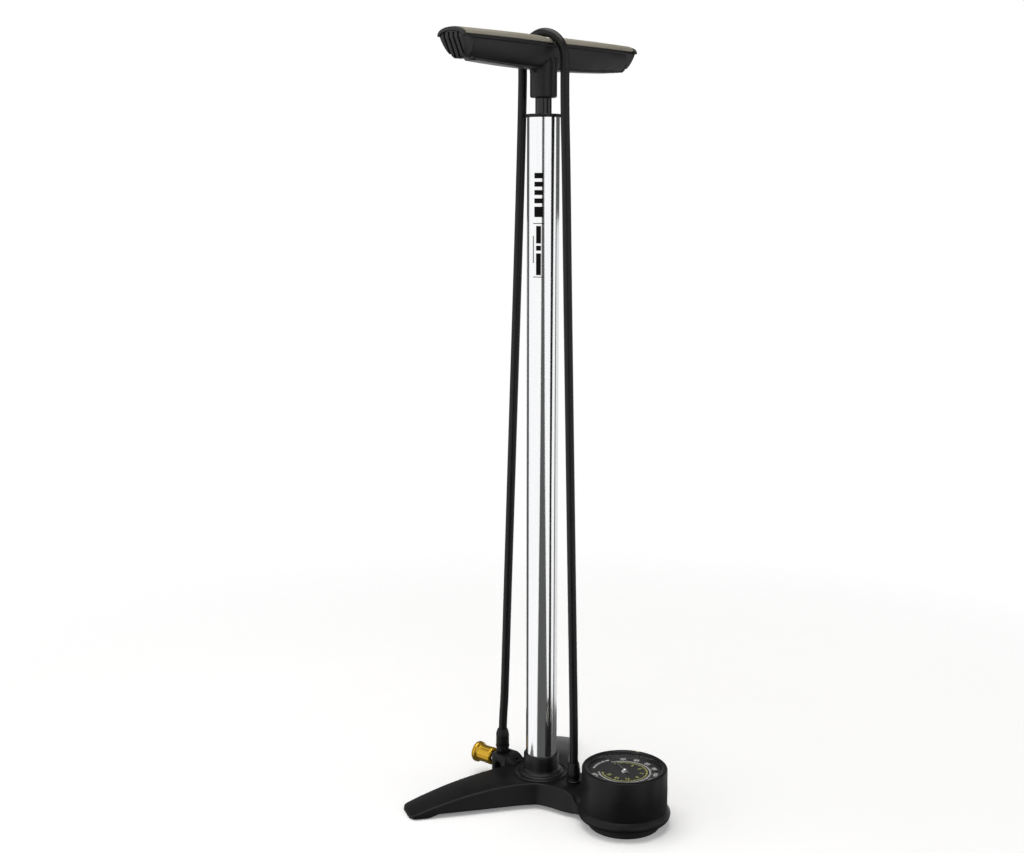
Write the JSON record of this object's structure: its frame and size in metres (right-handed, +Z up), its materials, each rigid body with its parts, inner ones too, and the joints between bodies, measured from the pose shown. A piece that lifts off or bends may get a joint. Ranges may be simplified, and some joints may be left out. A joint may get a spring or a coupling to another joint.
{
  "type": "floor bike pump",
  "caption": "Floor pump for bicycle tyres with a tripod base, dial gauge in its front foot, tall barrel, cross handle, and a hose over the handle to a chuck in its dock.",
  "frame": {"origin": "middle of the footprint on the floor, between the gauge's front edge and the side legs' rear corners", "axes": "+Z up along the barrel, X along the handle, -Y towards the gauge"},
  "size_m": [0.25, 0.2274, 0.7345],
  "materials": {
    "black_cast": "fine satin powder coat",
    "black_plastic": "fine grained",
    "polished_tube": "polished, clear anodised",
    "movement_metal": "plain",
    "steel": "zinc plated",
    "yellow_brass": "plain",
    "soft_rubber": "matte",
    "hose_rubber": "smooth, slightly shiny",
    "grip_cover": "warm grey metallic, fine grained",
    "gold_sleeve": "gold anodised",
    "dial_face": "printed",
    "clear_lens": "clear",
    "marker_paint": "yellow-green paint"
  },
  "bodies": {
    "base": {"base_casting": "black_cast", "base_socket": "movement_metal", "socket_screws": "steel", "air_pipe": "yellow_brass", "leg_foot_left": "soft_rubber", "leg_foot_right": "soft_rubber", "gauge_foot": "soft_rubber", "valve_plug": "movement_metal", "valve_spring": "steel", "barrel_collar": "black_cast", "barrel_tube": "polished_tube", "barrel_cap": "black_plastic", "rod_bush": "black_plastic", "gauge_housing": "black_plastic", "gauge_screws": "steel", "gauge_plate": "movement_metal", "gauge_socket": "yellow_brass", "bourdon_tube": "yellow_brass", "gauge_dial": "dial_face", "hose_inlet": "black_plastic", "hose_nut_base": "black_plastic", "hose_tube": "hose_rubber", "hose_nut_chuck": "black_plastic", "chuck_body": "black_plastic", "chuck_stem": "steel", "chuck_dock": "black_cast", "dock_screw": "steel"},
    "rod": {"piston_rod": "black_cast", "piston_head": "black_plastic", "piston_seal": "soft_rubber", "piston_cup": "soft_rubber", "piston_nut": "steel", "rod_bumper": "soft_rubber", "rod_insert": "movement_metal", "handle_body": "black_plastic", "handle_cover": "grip_cover", "handle_cap_left": "black_plastic", "handle_cap_right": "black_plastic", "handle_bolt": "steel", "bolt_washer": "steel"},
    "bezel": {"gauge_bezel": "black_plastic", "bezel_marker": "marker_paint", "gauge_lens": "clear_lens"},
    "needle": {"gauge_needle": "movement_metal", "needle_spindle": "steel"},
    "sector": {"sector_gear": "yellow_brass"},
    "sleeve": {"chuck_sleeve": "gold_sleeve", "chuck_seal": "soft_rubber"},
    "valve": {"valve_disc": "soft_rubber"}
  },
  "joints": [
    {"name": "rod_slide", "type": "slide", "parent": "base", "child": "rod", "axis": [0, 0, 1], "range_m": [0, 0.59], "deforming": ["hose_tube"]},
    {"name": "bezel_turn", "type": "hinge", "parent": "base", "child": "bezel", "pos_m": [0, -0.0705, 0.054], "axis": [0, 0, 1], "continuous": true},
    {"name": "needle_swing", "type": "hinge", "parent": "base", "child": "needle", "pos_m": [0, -0.0705, 0.052], "axis": [0, 0, 1], "range_deg": [-285, 0]},
    {"name": "sector_swing", "type": "hinge", "parent": "base", "child": "sector", "pos_m": [0, -0.0545, 0.038], "axis": [0, 0, 1], "range_deg": [0, 42]},
    {"name": "sleeve_turn", "type": "hinge", "parent": "base", "child": "sleeve", "pos_m": [0, 0.1, 0.022], "axis": [0, 1, 0], "continuous": true},
    {"name": "valve_open", "type": "slide", "parent": "base", "child": "valve", "axis": [0, 0, -1], "range_m": [0, 0.0015], "stiffness_N_per_m": 150, "springref_m": -0.001, "deforming": ["valve_spring"]}
  ],
  "couplings": [
    {"joint": "sector_swing", "follows": "needle_swing", "ratio": -0.146}
  ]
}
